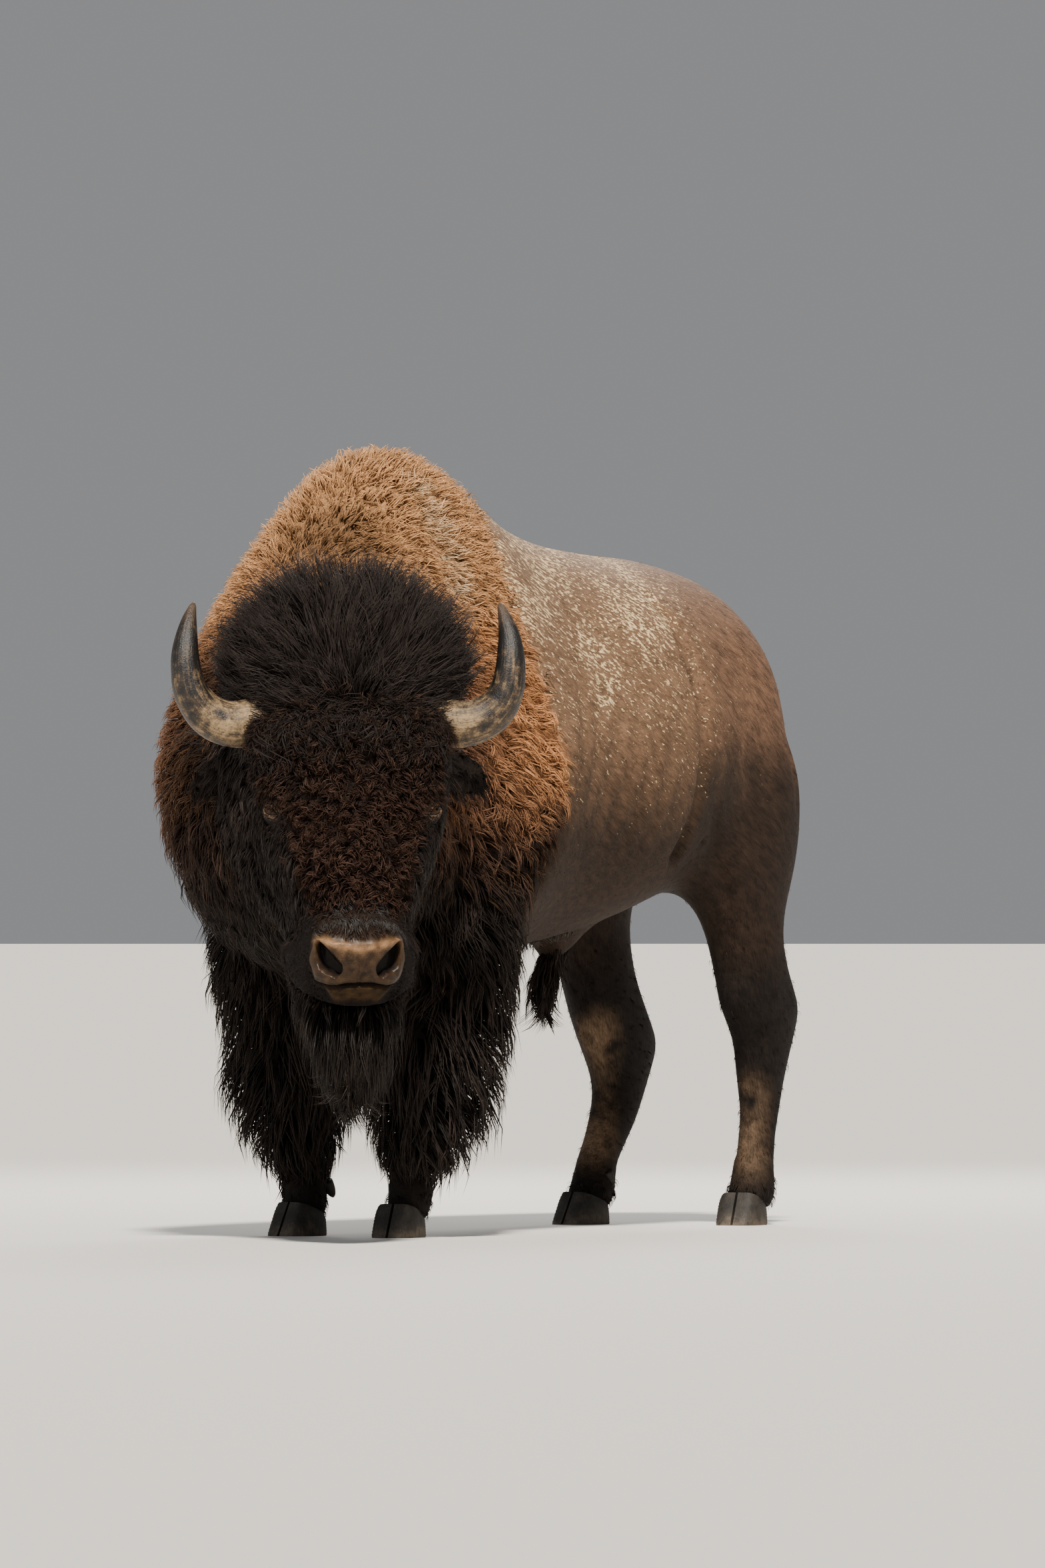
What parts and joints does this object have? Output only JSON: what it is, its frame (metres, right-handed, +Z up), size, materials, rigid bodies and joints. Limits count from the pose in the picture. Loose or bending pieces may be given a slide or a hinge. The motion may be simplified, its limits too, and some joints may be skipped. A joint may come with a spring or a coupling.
{
  "type": "American bison",
  "caption": "Life-size still model of a bull plains bison standing with its shaggy head lowered and turned to its left.",
  "frame": {"origin": "on the floor under the middle of the animal's box", "axes": "+Z up, the body faces -Y with the tail at +Y, and +X is the animal's own left side"},
  "size_m": [1.132, 2.7116, 1.7862],
  "materials": {
    "coat_brown": "shaggy brown coat, golden over the hump, short and grey-brown behind",
    "coat_black": "long dark brown to black hair",
    "horn": "dark horn with a worn tan sheen",
    "hoof": "dull black hoof horn",
    "eye": "wet dark brown eye"
  },
  "bodies": {
    "root": {"ear_left": "coat_black", "ear_right": "coat_black", "eye_left": "eye", "eye_right": "eye", "fore_left_inner_claw": "hoof", "fore_left_leg": "coat_black", "fore_left_outer_claw": "hoof", "fore_right_inner_claw": "hoof", "fore_right_leg": "coat_black", "fore_right_outer_claw": "hoof", "head": "coat_black", "hind_left_inner_claw": "hoof", "hind_left_leg": "coat_black", "hind_left_outer_claw": "hoof", "hind_right_inner_claw": "hoof", "hind_right_leg": "coat_black", "hind_right_outer_claw": "hoof", "horn_left": "horn", "horn_right": "horn", "neck": "coat_brown", "tail": "coat_brown", "trunk": "coat_brown"}
  },
  "joints": []
}
